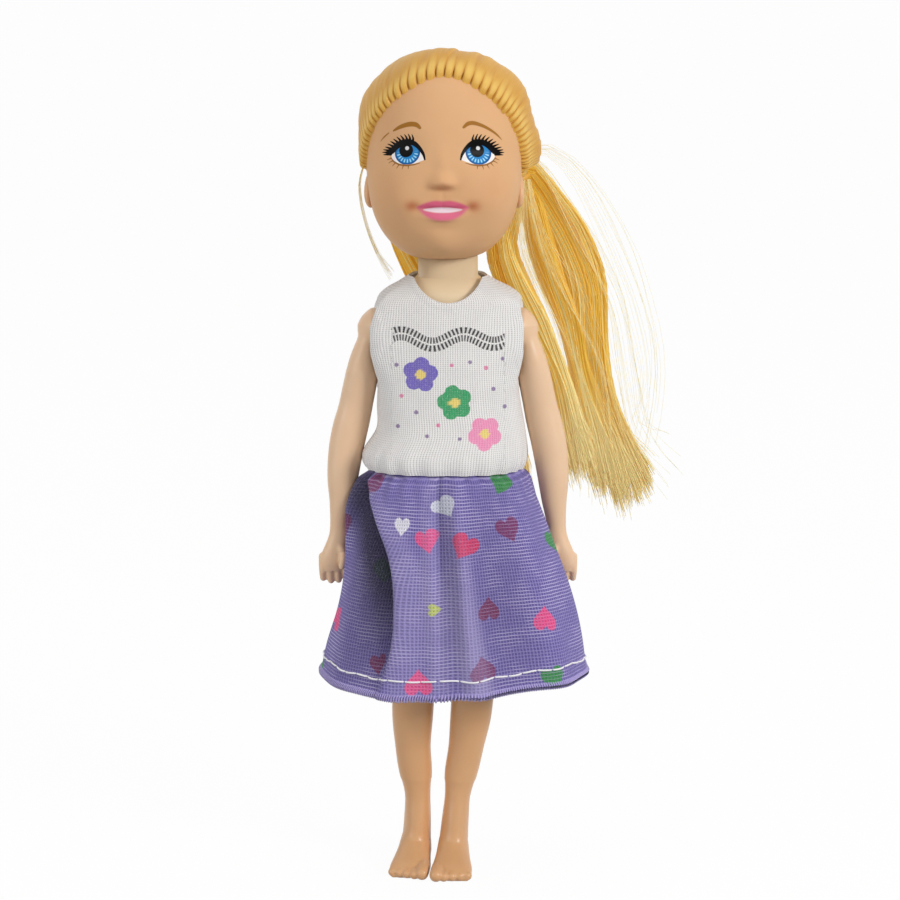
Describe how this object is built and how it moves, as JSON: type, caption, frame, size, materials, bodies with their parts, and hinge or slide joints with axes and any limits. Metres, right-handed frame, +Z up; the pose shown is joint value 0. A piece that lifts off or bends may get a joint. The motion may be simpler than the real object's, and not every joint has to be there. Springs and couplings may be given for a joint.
{
  "type": "jointed dressed child doll",
  "caption": "Small jointed child doll with rooted blond hair in a side ponytail, a white sleeveless knit top and a gathered heart print skirt.",
  "frame": {"origin": "on the ground, under the middle of the doll's box", "axes": "+Z up, the doll faces -Y, its left hand is towards +X"},
  "size_m": [0.0538, 0.0356, 0.1388],
  "materials": {
    "head_vinyl": "soft satin vinyl, rotation moulded",
    "limb_plastic": "soft satin, injection moulded",
    "body_plastic": "smooth hard plastic",
    "hair_fibre": "glossy nylon fibre, rooted and combed",
    "hair_band": "thin clear elastic",
    "white_knit": "fine white warp knit, raw cut edges, printed",
    "lilac_print": "lilac woven print with pale cross threads and scattered hearts",
    "white_thread": "twisted sewing thread",
    "closure_tape": "hook and loop tape"
  },
  "bodies": {
    "torso": {"torso_front": "body_plastic", "torso_back": "body_plastic", "bodice": "white_knit", "closure_hook_strip": "closure_tape", "closure_loop_strip": "closure_tape", "skirt": "lilac_print", "hem_stitch": "white_thread"},
    "head": {"head_shell": "head_vinyl", "hair_cap": "hair_fibre", "hair_elastic": "hair_band", "ponytail": "hair_fibre", "nape_lock": "hair_fibre"},
    "arm_left": {"arm_left": "limb_plastic"},
    "arm_right": {"arm_right": "limb_plastic"},
    "leg_left": {"leg_left": "limb_plastic"},
    "leg_right": {"leg_right": "limb_plastic"}
  },
  "joints": [
    {"name": "head_turn", "type": "hinge", "parent": "torso", "child": "head", "pos_m": [-0.00515, 0.001, 0.105], "axis": [0, 0, 1], "range_deg": [-75, 75], "deforming": ["ponytail", "nape_lock"]},
    {"name": "arm_left_swing", "type": "hinge", "parent": "torso", "child": "arm_left", "pos_m": [0.00515, 0.0004, 0.0925], "axis": [-0.9976, 0, 0.0698], "continuous": true},
    {"name": "arm_right_swing", "type": "hinge", "parent": "torso", "child": "arm_right", "pos_m": [-0.01545, 0.0004, 0.0925], "axis": [-0.9976, 0, -0.0698], "continuous": true},
    {"name": "hip_left", "type": "hinge", "parent": "torso", "child": "leg_left", "pos_m": [-0.00515, 0.0004, 0.055], "axis": [-1, 0, 0], "range_deg": [-25, 90], "deforming": ["skirt", "hem_stitch"]},
    {"name": "hip_right", "type": "hinge", "parent": "torso", "child": "leg_right", "pos_m": [-0.00515, 0.0004, 0.055], "axis": [-1, 0, 0], "range_deg": [-25, 90], "deforming": ["skirt", "hem_stitch"]}
  ]
}
